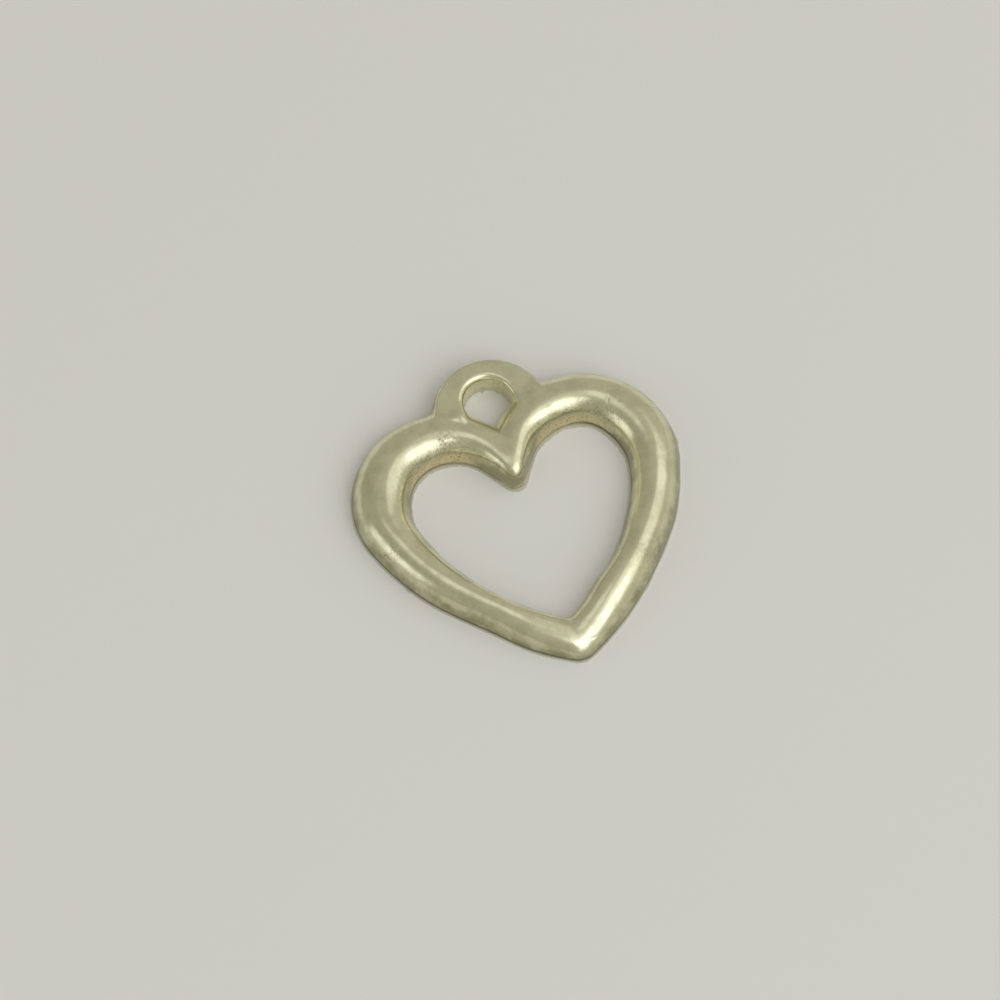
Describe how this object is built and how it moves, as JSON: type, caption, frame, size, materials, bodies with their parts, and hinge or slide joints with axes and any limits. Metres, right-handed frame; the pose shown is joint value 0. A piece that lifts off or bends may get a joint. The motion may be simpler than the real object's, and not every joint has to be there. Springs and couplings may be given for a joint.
{
  "type": "heart charm",
  "caption": "Open heart charm in cast white metal, with a domed front, a flat back and an arched hanging eye in the notch between the lobes.",
  "frame": {"origin": "on the plane of the flat back, at the middle of the charm's width and of its height with the eye", "axes": "+Z out of the domed front, +Y from the point towards the hanging eye, +X across the heart to the viewer's right"},
  "size_m": [0.0162, 0.0166, 0.0016],
  "materials": {
    "cast_white_metal": "satin"
  },
  "bodies": {
    "root": {"heart_frame": "cast_white_metal", "hanging_eye": "cast_white_metal"}
  },
  "joints": []
}
